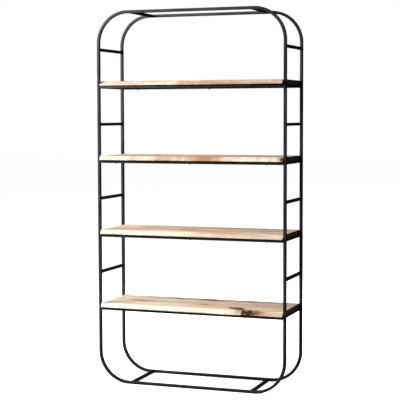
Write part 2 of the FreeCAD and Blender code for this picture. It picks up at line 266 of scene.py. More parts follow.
def run_tree(tree, values, guide=None):
    """Run a tree on a guide mesh and return what it makes as a plain mesh."""
    worker = bpy.data.objects.new(f"{tree.name} worker", guide or bpy.data.meshes.new("guide"))
    bpy.context.scene.collection.objects.link(worker)
    modifier = worker.modifiers.new("Make", "NODES")
    modifier.node_group = tree
    for item in tree.interface.items_tree:
        if item.in_out == "INPUT" and item.name in values:
            modifier[item.identifier] = values[item.name]
    bpy.context.view_layer.update()
    depsgraph = bpy.context.evaluated_depsgraph_get()
    mesh = bpy.data.meshes.new_from_object(worker.evaluated_get(depsgraph))
    bpy.data.objects.remove(worker)
    if not mesh.polygons:
        raise RuntimeError(f"{tree.name} made no faces")
    return mesh


def smooth(mesh, degrees=35.0):
    """Shade a mesh smooth, with hard edges where its faces meet at more than an angle."""
    mesh.polygons.foreach_set("use_smooth", [True] * len(mesh.polygons))
    mesh.set_sharp_from_angle(angle=math.radians(degrees))
    mesh.update()


def lathe(name, profile, steps):
    """Turn a profile of (radius, height) points about Z into a closed mesh."""
    verts = []
    for radius, height in profile:
        for step in range(steps):
            angle = 2 * math.pi * step / steps
            verts.append((radius * math.cos(angle), radius * math.sin(angle), height))
    faces = []
    for ring in range(len(profile) - 1):
        for step in range(steps):
            after = (step + 1) % steps
            low, high = ring * steps, (ring + 1) * steps
            faces.append((low + step, low + after, high + after, high + step))
    faces.append(tuple(reversed(range(steps))))
    faces.append(tuple(range((len(profile) - 1) * steps, len(profile) * steps)))
    mesh = bpy.data.meshes.new(name)
    mesh.from_pydata(verts, [], faces)
    mesh.validate()
    return mesh


def new_material(name, roughness, metallic=0.0, ior=1.5):
    """Make a material and return it with its tree, its shader and its object coordinates."""
    material = bpy.data.materials.new(name)
    material.use_nodes = True
    tree = material.node_tree
    tree.nodes.clear()
    shader = add_node(tree, "ShaderNodeBsdfPrincipled",
                      {"Roughness": roughness, "Metallic": metallic, "IOR": ior})
    add_node(tree, "ShaderNodeOutputMaterial", {"Surface": shader.outputs[0]})
    place = add_node(tree, "ShaderNodeTexCoord")
    return material, tree, shader, place.outputs["Object"]


# ---------------------------------------------------------------- materials

def powder_coat(paint):
    """Polyester powder coat, sprayed and baked on mild steel.

    It is a dark blue-grey, satin, with the soft orange peel of melted powder, drawn about
    twice as coarse as the real 1 mm so that it shows, and it is a little duller in places
    where hands and cloths have been.
    """
    material, tree, shader, place = new_material(PAINTED, 0.45)
    peel = add_node(tree, "ShaderNodeTexNoise",
                    {"Vector": place, "Scale": 1 / (2.0 * MM), "Detail": 2.0})
    handled = add_node(tree, "ShaderNodeTexNoise",
                       {"Vector": place, "Scale": 1 / (90 * MM), "Detail": 3.0})
    dull = add_node(tree, "ShaderNodeMapRange",
                    {"Value": handled.outputs["Fac"], "From Min": 0.35, "From Max": 0.7,
                     "To Min": 0.36, "To Max": 0.5})
    tree.links.new(dull.outputs[0], shader.inputs["Roughness"])
    dust = tuple(channel * 1.35 for channel in paint[:3]) + (1.0,)
    tint = add_node(tree, "ShaderNodeValToRGB", {"Fac": handled.outputs["Fac"]},
                    stops=[(0.35, tuple(paint)), (0.75, dust)])
    relief = add_node(tree, "ShaderNodeBump",
                      {"Height": peel.outputs["Fac"], "Distance": 0.03 * MM,
                       "Strength": 0.35})
    tree.links.new(tint.outputs[0], shader.inputs["Base Color"])
    tree.links.new(relief.outputs[0], shader.inputs["Normal"])
    return material


def zinc_plate():
    """Bright zinc plating on a steel screw: a soft grey shine with faint mottling."""
    material, tree, shader, place = new_material(ZINC, 0.35, metallic=1.0)
    mottle = add_node(tree, "ShaderNodeTexNoise",
                      {"Vector": place, "Scale": 1 / (1.5 * MM), "Detail": 4.0})
    tint = add_node(tree, "ShaderNodeValToRGB", {"Fac": mottle.outputs["Fac"]},
                    stops=[(0.3, linear("#9b9da1")), (0.7, linear("#c9cbcd"))])
    relief = add_node(tree, "ShaderNodeBump",
                      {"Height": mottle.outputs["Fac"], "Distance": 0.03 * MM,
                       "Strength": 0.4})
    tree.links.new(tint.outputs[0], shader.inputs["Base Color"])
    tree.links.new(relief.outputs[0], shader.inputs["Normal"])
    return material


def turned_steel():
    """Bright steel rod turned on a lathe, with rings round each pin.

    The rings are drawn about 2 mm apart, far coarser than the real marks of the tool, so
    that they show.
    """
    material, tree, shader, place = new_material(STEEL, 0.3, metallic=1.0)
    rings = add_node(tree, "ShaderNodeTexWave",
                     {"Vector": place, "Scale": 1 / (7 * MM), "Distortion": 0.6,
                      "Detail": 1.0}, bands_direction="X")
    tint = add_node(tree, "ShaderNodeValToRGB", {"Fac": rings.outputs["Fac"]},
                    stops=[(0.2, linear("#8f8d88")), (0.8, linear("#b9b7b2"))])
    relief = add_node(tree, "ShaderNodeBump",
                      {"Height": rings.outputs["Fac"], "Distance": 0.02 * MM,
                       "Strength": 0.5})
    tree.links.new(tint.outputs[0], shader.inputs["Base Color"])
    tree.links.new(relief.outputs[0], shader.inputs["Normal"])
    return material


def oiled_timber(sizes):
    """Pale hardwood plank, planed, sanded and oiled matt, with its own round edge kept.

    The attribute log says where each point lay in the log: X along it, Y and Z across it
    from the pith.  Growth rings are shells round the pith, so they draw arches on the flat
    of the board and arcs on its sawn ends.  The attributes sap, heart and bark
    hold how much pale sapwood, brown heartwood and dark colour the board has at a point.
    The dark colour is bark in the knots, and painted shade in an open crack; heart and
    bark together also paint shade as a dark patch where it falls on a board's
    corner by the post.  sawn is 1 on the end grain, which soaks up oil and turns dark.
    The fibres are drawn about 1.4 mm wide, coarser than real ones, so that they show.
    """
    material, tree, shader, place = new_material(TIMBER, 0.55)
    log = add_node(tree, "ShaderNodeAttribute", attribute_name="log").outputs["Vector"]
    sap, heart, bark, sawn = (
        add_node(tree, "ShaderNodeAttribute", attribute_name=name).outputs["Fac"]
        for name in ("sap", "heart", "bark", "sawn"))

    sway, fibre, streak = (
        add_node(tree, "ShaderNodeTexNoise",
                 {"Vector": add_node(tree, "ShaderNodeMapping",
                                     {"Vector": log, "Scale": per_metre}).outputs[0],
                  "Scale": 1.0, "Detail": detail, "Roughness": roughness})
        for per_metre, detail, roughness in (((2.2, 7.0, 7.0), 3.0, 0.55),
                                             ((9.0, 700.0, 700.0), 4.0, 0.6),
                                             ((2.0, 30.0, 30.0), 4.0, 0.65)))
    centred = add_node(tree, "ShaderNodeVectorMath",
                       {0: sway.outputs["Color"], 1: (0.5, 0.5, 0.5)}, operation="SUBTRACT")
    swayed = add_node(tree, "ShaderNodeVectorMath",
                      {0: centred.outputs[0], 1: (0.0, 60 * MM, 60 * MM), 2: log},
                      operation="MULTIPLY_ADD")
    axis = add_node(tree, "ShaderNodeVectorMath",
                    {0: swayed.outputs[0], 1: (0.0, 1.0, 1.0)}, operation="MULTIPLY")
    radius = add_node(tree, "ShaderNodeVectorMath", {0: axis.outputs[0]}, operation="LENGTH")
    turns = add_node(tree, "ShaderNodeMath",
                     {0: radius.outputs["Value"], 1: 1 / sizes.ring_width},
                     operation="MULTIPLY")
    ring = add_node(tree, "ShaderNodeMath", {0: turns.outputs[0]}, operation="FRACT")
    early, late = tuple(sizes.early), tuple(sizes.late)
    rings, streaking, fibres = (
        add_node(tree, "ShaderNodeValToRGB", {"Fac": pattern}, stops=stops).outputs[0]
        for pattern, stops in (
            (ring.outputs[0], [(0.0, early), (0.55, early), (0.9, late), (1.0, early)]),
            (streak.outputs["Fac"], [(0.38, BLACK), (0.7, WHITE)]),
            (fibre.outputs["Fac"], [(0.3, (0.8, 0.78, 0.75, 1.0)), (0.6, WHITE)])))
    dark = tuple(channel * 0.8 for channel in late[:3]) + (1.0,)
    layers = [                  # how much of each layer lies over those before it
        (0.8, rings, "MIX"),
        (streaking, dark, "MIX"),
        (sap, tuple(sizes.sap), "MIX"),
        # heartwood, and part of the painted shade on a board's corner by the post
        (heart, tuple(sizes.heart), "MIX"),
        (1.0, fibres, "MULTIPLY"),
        # bark in the knots; painted shade in an open crack and on a board's corner
        (bark, tuple(sizes.bark), "MIX"),
        (sawn, (0.42, 0.36, 0.3, 1.0), "MULTIPLY"),
    ]
    tint = early
    for share, layer, blend in layers:
        tint = add_node(tree, "ShaderNodeMix", {"Factor": share, "A": tint, "B": layer},
                        data_type="RGBA", blend_type=blend).outputs["Result"]
    tree.links.new(tint, shader.inputs["Base Color"])
    rough = add_node(tree, "ShaderNodeMapRange",
                     {"Value": bark, "To Min": 0.55, "To Max": 0.95})
    relief = add_node(tree, "ShaderNodeBump",
                      {"Height": fibre.outputs["Fac"], "Distance": 0.12 * MM,
                       "Strength": 0.5})
    tree.links.new(rough.outputs[0], shader.inputs["Roughness"])
    tree.links.new(relief.outputs[0], shader.inputs["Normal"])
    return material


# ---------------------------------------------------------------- tubes

def hoop_tree():
    """A hoop: a round-edged square section swept round a round-cornered frame, less holes."""
    tree, given = new_tree("Bent tube hoop", {
        "Width": "NodeSocketFloat", "Height": "NodeSocketFloat", "Tube": "NodeSocketFloat",
        "Bend Radius": "NodeSocketFloat", "Edge Radius": "NodeSocketFloat",
        "Bend Steps": "NodeSocketInt", "Centre": "NodeSocketVector",
        "Hole Diameter": "NodeSocketFloat", "Hole Pitch": "NodeSocketFloat",
        "Hole Count": "NodeSocketInt", "First Hole": "NodeSocketFloat",
        "Material": "NodeSocketMaterial"})

    mid_width, mid_height = (
        add_node(tree, "ShaderNodeMath", {0: given[side], 1: given["Tube"]},
                 operation="SUBTRACT").outputs[0] for side in ("Width", "Height"))
    half_tube, half_width, hole_radius = (
        add_node(tree, "ShaderNodeMath", {0: given[whole], 1: 0.5},
                 operation="MULTIPLY").outputs[0]
        for whole in ("Tube", "Width", "Hole Diameter"))
    mid_radius, inner = (
        add_node(tree, "ShaderNodeMath", {0: whole, 1: part},
                 operation="SUBTRACT").outputs[0]
        for whole, part in ((given["Bend Radius"], half_tube),
                            (half_width, given["Tube"])))
    path = add_node(tree, "GeometryNodeCurvePrimitiveQuadrilateral",
                    {"Width": mid_width, "Height": mid_height})
    bent = add_node(tree, "GeometryNodeFilletCurve",
                    {"Curve": path.outputs[0], "Count": given["Bend Steps"],
                     "Radius": mid_radius}, mode="POLY")
    section = add_node(tree, "GeometryNodeCurvePrimitiveQuadrilateral",
                       {"Width": given["Tube"], "Height": given["Tube"]})
    eased = add_node(tree, "GeometryNodeFilletCurve",
                     {"Curve": section.outputs[0], "Count": EDGE_STEPS,
                      "Radius": given["Edge Radius"]}, mode="POLY")
    swept = add_node(tree, "GeometryNodeCurveToMesh",
                     {"Curve": bent.outputs[0], "Profile Curve": eased.outputs[0]})
    upright = add_node(tree, "GeometryNodeTransform",
                       {"Geometry": swept.outputs[0],
                        "Rotation": (math.pi / 2, 0.0, 0.0)})
    row_step = add_node(tree, "ShaderNodeCombineXYZ", {"Z": given["Hole Pitch"]})
    rows = add_node(tree, "GeometryNodeJoinGeometry")
    for side in (-1, 1):
        across = add_node(tree, "ShaderNodeMath", {0: inner, 1: float(side)},
                          operation="MULTIPLY")
        start = add_node(tree, "ShaderNodeCombineXYZ",
                         {"X": across.outputs[0], "Z": given["First Hole"]})
        row = add_node(tree, "GeometryNodeMeshLine",
                       {"Count": given["Hole Count"], "Start Location": start.outputs[0],
                        "Offset": row_step.outputs[0]})
        tree.links.new(row.outputs[0], rows.inputs[0])
    drill = add_node(tree, "GeometryNodeMeshCylinder",
                     {"Vertices": ROUND_STEPS, "Depth": given["Tube"],
                      "Radius": hole_radius})
    drills = add_node(tree, "GeometryNodeInstanceOnPoints",
                      {"Points": rows.outputs[0], "Instance": drill.outputs[0],
                       "Rotation": (0.0, math.pi / 2, 0.0)})
    solid_drills = add_node(tree, "GeometryNodeRealizeInstances",
                            {"Geometry": drills.outputs[0]})
    drilled = add_node(tree, "GeometryNodeMeshBoolean",
                       {"Mesh 1": upright.outputs[0], "Mesh 2": solid_drills.outputs[0]},
                       operation="DIFFERENCE", solver="EXACT")
    placed = add_node(tree, "GeometryNodeTransform",
                      {"Geometry": drilled.outputs[0], "Translation": given["Centre"]})
    end_tree(tree, placed.outputs[0], given["Material"])
    return tree


def weld_tree():
    """Weld beads: overlapping ripples of metal along each edge of a guide mesh."""
    tree, given = new_tree("Weld bead", {
        "Ripple Pitch": "NodeSocketFloat", "Material": "NodeSocketMaterial"})
    runs = add_node(tree, "GeometryNodeMeshToCurve", {"Mesh": given["Geometry"]})
    spaced = add_node(tree, "GeometryNodeResampleCurve",
                      {"Curve": runs.outputs[0], "Length": given["Ripple Pitch"]},
                      mode="LENGTH")
    size = add_node(tree, "GeometryNodeInputNamedAttribute", {"Name": "bead"},
                    data_type="FLOAT")
    uneven = add_node(tree, "FunctionNodeRandomValue",
                      {"Min": 0.88, "Max": 1.1, "Seed": 4}, data_type="FLOAT")
    scale = add_node(tree, "ShaderNodeMath",
                     {0: size.outputs[0], 1: uneven.outputs["Value"]},
                     operation="MULTIPLY")
    ripple = add_node(tree, "GeometryNodeMeshIcoSphere", {"Radius": 1.0, "Subdivisions": 2})
    beads = add_node(tree, "GeometryNodeInstanceOnPoints",
                     {"Points": spaced.outputs[0], "Instance": ripple.outputs[0],
                      "Scale": scale.outputs[0]})
    end_tree(tree, beads.outputs[0], given["Material"])
    return tree


def bead_guide(runs):
    """Make the guide mesh for weld beads; a run is (start, end, bead radius)."""
    verts = [point for start, end, _ in runs for point in (start, end)]
    edges = [(2 * number, 2 * number + 1) for number in range(len(runs))]
    mesh = bpy.data.meshes.new("bead guide")
    mesh.from_pydata(verts, edges, [])
    sizes = mesh.attributes.new("bead", "FLOAT", "POINT")
    sizes.data.foreach_set("value", [bead for _, _, bead in runs for _ in (0, 1)])
    return mesh


def joint_runs(tube, bead, faces):
    """List the weld runs at both ends of a tube that lies along Y.

    bead is the radius of a full bead, and faces gives each welded side of the tube its
    share of that: 1 in an open corner, less where two level faces are ground flush.
    """
    low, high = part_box(tube)
    edges = {
        "left": ((low.x, low.z + bead), (low.x, high.z - bead)),
        "right": ((high.x, low.z + bead), (high.x, high.z - bead)),
        "below": ((low.x + bead, low.z), (high.x - bead, low.z)),
        "above": ((low.x + bead, high.z), (high.x - bead, high.z)),
    }
    runs = []
    for face, share in faces.items():
        (start_x, start_z), (end_x, end_z) = edges[face]
        for y in (low.y, high.y):
            runs.append(((start_x, y, start_z), (end_x, y, end_z), bead * share))
    return runs


class BOOKCASE_OT_hoops(bpy.types.Operator):
    """Sweep the front and rear hoops and drill their rows of pin holes"""
    bl_idname = "bookcase.hoops"
    bl_label = "Hoops"

    def execute(self, context):
        settings = context.scene.bookcase_tube
        tree = hoop_tree()
        levels = [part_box(f"left_rung_{number}")[0].z for number in (1, 2)]
        hole_pitch = (levels[1] - levels[0]) / LEVELS_PER_SHELF / HOLES_PER_LEVEL
        pins_low, pins_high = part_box("shelf_1_pins")
        first_pin = (pins_low.z + pins_high.z) / 2
        first_hole = first_pin - HOLES_PER_LEVEL * hole_pitch
        count = LEVELS_PER_SHELF * len(SHELVES) * HOLES_PER_LEVEL + 1
        rung_low, rung_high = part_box("left_rung_1")
        for end in ENDS:
            node = f"{end}_hoop"
            low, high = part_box(node)
            centre = (low + high) / 2
            mesh = run_tree(tree, {
                "Width": high.x - low.x, "Height": high.z - low.z,
                "Tube": rung_high.z - rung_low.z,
                "Bend Radius": settings.bend_radius, "Edge Radius": settings.edge_radius,
                "Bend Steps": settings.bend_steps, "Centre": centre,
                "Hole Diameter": (pins_high.z - pins_low.z) + settings.pin_clearance,
                "Hole Pitch": hole_pitch, "Hole Count": count,
                "First Hole": first_hole - centre.z,
                "Material": bpy.data.materials[PAINTED]})
            smooth(mesh)
            new_piece(f"{end}_hoop_tube", mesh, ROOT, "tube", node)
        return {"FINISHED"}


class BOOKCASE_OT_tubes(bpy.types.Operator):
    """Paint the straight tubes of the frame and the shelves"""
    bl_idname = "bookcase.tubes"
    bl_label = "Straight tubes"

    def execute(self, context):
        paint = bpy.data.materials[PAINTED]
        for name, node in frame["nodes"].items():
            if name.endswith("_rail") or "_rung_" in name or "_bar_" in name:
                node.data.materials.clear()
                node.data.materials.append(paint)
        return {"FINISHED"}


class BOOKCASE_OT_welds(bpy.types.Operator):
    """Lay the weld beads where rungs, bars and rails meet"""
    bl_idname = "bookcase.welds"
    bl_label = "Weld beads"

    def execute(self, context):
        settings = context.scene.bookcase_tube
        bead = settings.bead_radius
        tree = weld_tree()
        for body, nodes in frame["record"]["behaviour"]["bodies"].items():
            runs = []
            for node in nodes:
                for kind, faces in WELDED_FACES.items():
                    if kind in node:
                        runs += joint_runs(node, bead, faces)
            mesh = run_tree(tree, {
                "Ripple Pitch": settings.bead_pitch,
                "Material": bpy.data.materials[PAINTED]},
                bead_guide(runs))
            smooth(mesh, 80.0)
            new_piece(f"{body}_welds", mesh, body, "tube")
        return {"FINISHED"}


# ---------------------------------------------------------------- screws and pins

def grid_tree():
    """Copies of one part on a grid of points, with a fixed random turn about Z."""
    tree, given = new_tree("Part grid", {
        "Part": "NodeSocketObject", "Length": "NodeSocketFloat", "Width": "NodeSocketFloat",
        "Count Along": "NodeSocketInt", "Centre": "NodeSocketVector",
        "Lie Down": "NodeSocketFloat", "Most Turn": "NodeSocketFloat",
        "Material": "NodeSocketMaterial"})
    grid = add_node(tree, "GeometryNodeMeshGrid",
                    {"Size X": given["Length"], "Size Y": given["Width"],
                     "Vertices X": given["Count Along"], "Vertices Y": 2})
    part = add_node(tree, "GeometryNodeObjectInfo", {"Object": given["Part"]})
    turn = add_node(tree, "FunctionNodeRandomValue",
                    {"Min": 0.0, "Max": given["Most Turn"], "Seed": 11}, data_type="FLOAT")
    stance = add_node(tree, "ShaderNodeCombineXYZ",
                      {"Y": given["Lie Down"], "Z": turn.outputs["Value"]})
    copies = add_node(tree, "GeometryNodeInstanceOnPoints",
                      {"Points": grid.outputs[0], "Instance": part.outputs["Geometry"],
                       "Rotation": stance.outputs[0]})
    placed = add_node(tree, "GeometryNodeTransform",
                      {"Geometry": copies.outputs[0], "Translation": given["Centre"]})
    end_tree(tree, placed.outputs[0], given["Material"])
    return tree


def pan_screw(head_radius, head_height, shank_radius, length):
    """Model a pan-head screw, head down, with a round recess and a threaded shank.

    The underside of the head's rim is at Z = 0 and the shank stands up from it.
    """
    recess = 0.55 * head_height
    profile = [(POLE, -head_height + recess)]
    profile.append((0.22 * head_radius, -head_height + recess * 0.8))
    profile.append((0.34 * head_radius, -head_height + 0.02 * head_height))
    for step in range(7):
        angle = math.radians(90 - 15 * step)
        profile.append((head_radius * (0.62 + 0.38 * math.cos(angle)),
                        -head_height * (0.25 + 0.75 * math.sin(angle))))
    profile.append((head_radius, 0.0))
    profile.append((shank_radius, 0.0))
    turns = int(length / THREAD_PITCH)
    for turn in range(turns):
        start = (turn + 0.5) * THREAD_PITCH
        profile.append((shank_radius * 0.8, start))
        profile.append((shank_radius, start + THREAD_PITCH / 2))
    profile.append((shank_radius * 0.3, length))
    return lathe("pan screw", profile, ROUND_STEPS)


def shelf_pin(radius, length):
    """Model a steel pin, centred, along Z, with a chamfer at each end."""
    ease = radius * 0.3
    half = length / 2
    profile = [(POLE, -half), (radius - ease, -half), (radius, -half + ease),
               (radius, half - ease), (radius - ease, half), (POLE, half)]
    return lathe("shelf pin", profile, ROUND_STEPS)


class BOOKCASE_OT_screws(bpy.types.Operator):
    """Drive the pan-head screws up through the rails into the boards"""
    bl_idname = "bookcase.screws"
    bl_label = "Screws"

    def execute(self, context):
        settings = context.scene.bookcase_hardware
        tree = grid_tree()
        for shelf in SHELVES:
            node = f"{shelf}_screws"
            low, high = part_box(node)
            head = settings.head_diameter / 2
            source = bpy.data.objects.new("screw source", pan_screw(
                head, settings.head_height, settings.screw_diameter / 2,
                high.z - low.z - settings.head_height))
            mesh = run_tree(tree, {
                "Part": source, "Length": high.x - low.x - 2 * head,
                "Width": high.y - low.y - 2 * head, "Count Along": SCREWS_ALONG,
                "Centre": ((low.x + high.x) / 2, (low.y + high.y) / 2,
                           low.z + settings.head_height),
                "Lie Down": 0.0, "Most Turn": math.pi / 2,
                "Material": bpy.data.materials[ZINC]})
            bpy.data.objects.remove(source)
            smooth(mesh)
            new_piece(f"{shelf}_pan_screws", mesh, shelf, "screw", node)
        return {"FINISHED"}


class BOOKCASE_OT_pins(bpy.types.Operator):
    """Push four steel pins into the posts under each shelf"""
    bl_idname = "bookcase.pins"
    bl_label = "Shelf pins"

    def execute(self, context):
        settings = context.scene.bookcase_hardware
        tree = grid_tree()
        for shelf in SHELVES:
            node = f"{shelf}_pins"
            low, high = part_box(node)
            diameter = high.z - low.z
            source = bpy.data.objects.new(
                "pin source", shelf_pin(diameter / 2, settings.pin_length))
            centre = (low + high) / 2
            mesh = run_tree(tree, {
                "Part": source, "Length": high.x - low.x - settings.pin_length,
                "Width": high.y - low.y - diameter, "Count Along": 2,
                "Centre": centre, "Lie Down": math.pi / 2, "Most Turn": 0.0,
                "Material": bpy.data.materials[STEEL]})
            bpy.data.objects.remove(source)
            smooth(mesh)
            new_piece(f"{shelf}_turned_pins", mesh, ROOT, "pin", node)
        return {"FINISHED"}


# ---------------------------------------------------------------- boards

class BoardCut(NamedTuple):
    """How one board was cut: its front edge, its place in the log, and its marks.

    edge lists (x, lower, upper): how far the lower and the upper front edge stand in
    front of the posts at that place along the board.  sap lists (x, share): how much of
    the front edge is pale sapwood there.  knots_and_shade lists (x, y, size, brown, bark)
    for knots, and for patches of painted shade that are drawn as dark knots where shade
    falls on a board by the post; cracks lists (start, end, width), each end an (x, y),
    with y from the posts' front face backwards.  pith is how far the pith lies behind the
    board's middle and below its underside, heart is how much brown heartwood it has, and
    seed fixes its noise.  All lengths are in millimetres.
    """

    edge: list
    sap: list
    pith: tuple
    knots_and_shade: list
    heart: float
    seed: int
    cracks: tuple = ()


BOARD_CUTS = {
    "shelf_4": BoardCut(
        edge=[(-485, 5, -17), (-150, 10, -12), (150, 14, -8), (485, 20, -3)],
        sap=[(-485, 0.3), (-200, 0.15), (485, 0.0)],
        pith=(-30, 70), knots_and_shade=[(210, 8, 16, 0.35, 0.0), (-40, 6, 14, 0.25, 0.0),
                               (390, 2, 22, 0.3, 0.0)],
        heart=0.8, seed=4),
    "shelf_3": BoardCut(
        edge=[(-485, 13, 2), (-200, 14, 3), (100, 13, 3), (300, 15, 2), (485, 12, 1)],
        sap=[(-485, 0.5), (-250, 0.3), (0, 0.0), (180, 0.2), (330, 0.8), (485, 0.8)],
        pith=(60, 45), knots_and_shade=[(95, -10, 26, 0.95, 0.0), (-150, -10, 18, 0.6, 0.0),
                              (-60, -8, 12, 0.4, 0.0), (-300, -8, 10, 0.4, 0.0),
                              # x 483 is no knot but painted shade at the right front corner
                              (-120, 60, 12, 0.4, 0.0), (483, -6, 10, 0.9, 1.0)],
        heart=0.6, seed=3),
    "shelf_2": BoardCut(
        edge=[(-485, 9, -1), (-150, 11, -4), (150, 10, -10), (320, 12, -20), (485, 10, -14)],
        sap=[(-485, 0.6), (-100, 0.5), (150, 0.4), (485, 0.4)],
        pith=(20, 90), knots_and_shade=[(-60, 150, 18, 0.5, 0.1), (60, 90, 16, 0.4, 0.0)],
        heart=0.6, seed=2),
    "shelf_1": BoardCut(
        edge=[(-485, 11, 1), (-250, 14, 5), (0, 17, 8), (180, 20, 7), (240, 22, 6),
              (270, 21, 0), (288, 9, -14), (360, 12, -16), (485, 14, -10)],
        sap=[(-485, 0.75), (270, 0.9), (286, 0.0), (485, 0.3)],
        pith=(90, 55), knots_and_shade=[(310, 2, 27, 0.6, 1.5), (356, 2, 18, 0.6, 0.6),
                              (-342, 144, 20, 0.8, 0.2), (-284, 128, 18, 0.7, 0.2),
                              (38, 119, 18, 0.7, 0.5), (-157, 274, 24, 0.6, 1.0),
                              (-21, 280, 20, 0.6, 0.7), (40, 266, 28, 0.7, 1.0),
                              (245, 272, 20, 0.6, 0.7)],
        heart=0.2, seed=1, cracks=(((165, 78), (285, 34), 28),)),
}


def eased(points, x):
    """Follow (x, value) points with a smooth step from each to the next."""
    places = np.array([place for place, _ in points], float)
    values = np.array([value for _, value in points], float)
    after = np.clip(np.searchsorted(places, x), 1, len(places) - 1)
    share = np.clip((x - places[after - 1]) / (places[after] - places[after - 1]), 0, 1)
    share = share * share * (3 - 2 * share)
    return values[after - 1] * (1 - share) + values[after] * share


def waves(x, rng, length, height):
    """Add sine waves of random phase, each shorter and lower than the one before."""
    total = np.zeros_like(x)
    for step in range(WAVE_COUNT):
        phase = rng.uniform(0, 2 * math.pi)
        total += height * 0.62 ** step * np.sin(2 * math.pi * x / length * 1.7 ** step + phase)
    return total


def hill(distance):
    """Rise in a smooth bump: 1 at distance 0, next to nothing past 2."""
    return np.exp(-distance ** 2)


def board_points(cut, half_length, depth, thickness, step, arris):
    """Work out a board's surface in millimetres, as arrays of stations by section points.

    Y is measured backwards from the posts' front face, and Z upwards from the rails.
    """
    rng = np.random.default_rng(cut.seed)
    stations = int(round(2 * half_length / step)) + 1
    x = np.linspace(-half_length, half_length, stations)
    lower = eased([(place, low) for place, low, _ in cut.edge], x)
    upper = eased([(place, high) for place, _, high in cut.edge], x)
    sway = waves(x, rng, 260.0, 0.8)
    lower = lower + sway + waves(x, rng, 190.0, 0.5)
    upper = upper + sway + waves(x, rng, 150.0, 0.7)
    back = np.full_like(x, depth)
    flat = np.zeros_like(x)
    ys = [back - arris + (arris - lower - back + arris) * t
          for t in np.linspace(0, 1, PLAIN_ROWS)]
    zs = [flat for _ in ys]
    ys.append(0.3 * arris - lower)
    zs.append(flat + 0.3 * arris)
    for t in np.linspace(0, 1, PLAIN_ROWS):
        ripple = waves(x + 9 * t, np.random.default_rng(cut.seed + 50), 170.0, 0.3)
        belly = (1.3 + ripple) * math.sin(math.pi * t)
        ys.append(-lower + (lower - upper) * t - belly)
        zs.append(flat + arris + (thickness - 2 * arris) * t)
    ys.append(0.35 * arris - upper)
    zs.append(flat + thickness - 0.3 * arris)
    for reach in np.linspace(arris, FINE_STRIP, FINE_ROWS):
        ys.append(reach - upper)
        zs.append(flat + thickness)
    rest_start = FINE_STRIP - upper
    for t in np.linspace(0, 1, REST_ROWS)[1:]:
        ys.append(rest_start + (back - arris - rest_start) * t)
        zs.append(flat + thickness)
    for inset, height in ((0.3, thickness - 0.3 * arris), (0, thickness - arris),
                          (0, thickness / 2), (0, arris), (0.3, 0.3 * arris)):
        ys.append(back - inset * arris)
        zs.append(flat + height)
    y = np.array(ys).T
    z = np.array(zs).T
    grid_x = np.repeat(x[:, None], y.shape[1], axis=1)
    return grid_x, y, z


def carve(cut, x, y, z, thickness):
    """Press knots and cracks into a board; work out brown wood, bark and painted shade."""
    brown = np.zeros_like(x)
    bark = np.zeros_like(x)
    lift = np.zeros_like(x)
    ragged = np.array([noise.noise(Vector((px / 13, py / 8, NOISE_STEP * cut.seed)))
                       for px, py in zip(x.ravel(), y.ravel())]).reshape(x.shape)
    # each entry is a knot, or a patch of painted shade drawn like a dark knot
    for place, depth, size, knot_brown_and_shade, knot_bark_and_shade in cut.knots_and_shade:
        away = np.hypot((x - place) / (2.4 * size), (y - depth) / size)
        core = np.hypot((x - place) / (0.9 * size), (y - depth) / (0.6 * size))
        core = core + 0.6 * ragged
        brown += knot_brown_and_shade * hill(away)
        bark += knot_bark_and_shade * hill(core)
        lift += 0.9 * size * hill(away * 0.8)
        z -= 1.2 * min(knot_bark_and_shade, 1) * hill(core) * (z > thickness / 2)
        if depth < SAP_DEPTH:    # a knot so near the front shows in the front edge
            y += BARK_HOLLOW * min(knot_bark_and_shade, 1) * hill(core)
    for (start_x, start_y), (end_x, end_y), width in cut.cracks:
        share = (x - start_x) / (end_x - start_x)
        line = start_y + (end_y - start_y) * share + 2.0 * np.sin(x / 9.0)
        swell = np.sin(math.pi * np.clip(share, 0, 1) ** 1.5)
        gap = np.abs(y - line) / (0.15 + width * swell) + 0.5 * ragged
        shaded_crack = hill(gap) * (swell > 0) * (z > thickness / 2)
        # the bark colour paints the open crack dark: painted shade in the crack
        bark += 1.3 * shaded_crack
        brown += 0.6 * hill(gap / 2) * (swell > 0)
        z -= 1.6 * shaded_crack
    return brown, bark, lift


def streaks(x, y, z, seed):
    """Work out long soft streaks from 0 to 1 with fixed noise."""
    values = [noise.fractal(Vector((px / 300 + NOISE_STEP * seed, py / 34, pz / 12)),
                            0.7, 2.1, 3)
              for px, py, pz in zip(x.ravel(), y.ravel(), z.ravel())]
    return np.clip(np.array(values).reshape(x.shape) * 1.1 + 0.35, 0, 1)


